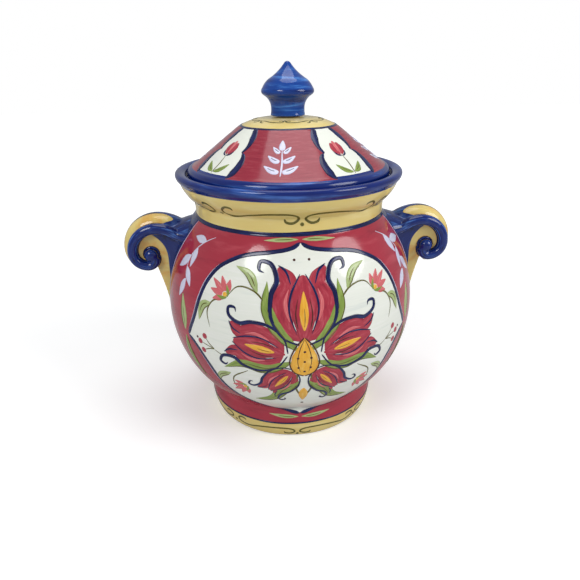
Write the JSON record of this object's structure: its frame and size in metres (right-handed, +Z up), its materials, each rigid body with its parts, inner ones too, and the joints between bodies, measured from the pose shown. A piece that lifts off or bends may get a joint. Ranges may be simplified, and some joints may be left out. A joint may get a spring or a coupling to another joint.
{
  "type": "biscuit jar",
  "caption": "Round-bellied glazed ceramic biscuit jar with scroll handles, a flared collar and a domed lift-off lid with a pointed knob.",
  "frame": {"origin": "centre of the foot, on the surface the jar stands on", "axes": "+Z up along the jar's own axis, handles along X, the front panel faces -Y"},
  "size_m": [0.2666, 0.2012, 0.28],
  "materials": {
    "pot_glaze": "glossy hand-painted crimson, cream, straw yellow and navy glaze",
    "handle_glaze": "glossy navy and straw yellow glaze",
    "lid_glaze": "glossy hand-painted crimson, cream, straw yellow and navy glaze",
    "knob_glaze": "glossy streaked cobalt blue glaze",
    "seal_rubber": "matt translucent white silicone"
  },
  "bodies": {
    "pot": {"jar_pot": "pot_glaze", "handle_left": "handle_glaze", "handle_right": "handle_glaze"},
    "seal": {"lid_seal": "seal_rubber"},
    "lid": {"lid_shell": "lid_glaze", "lid_knob": "knob_glaze"}
  },
  "joints": [
    {"name": "lid_lift", "type": "slide", "parent": "pot", "child": "seal", "axis": [0, 0, 1], "range_m": [0, 0.15]},
    {"name": "lid_turn", "type": "hinge", "parent": "seal", "child": "lid", "pos_m": [0, 0, 0.19], "axis": [0, 0, 1], "continuous": true}
  ]
}
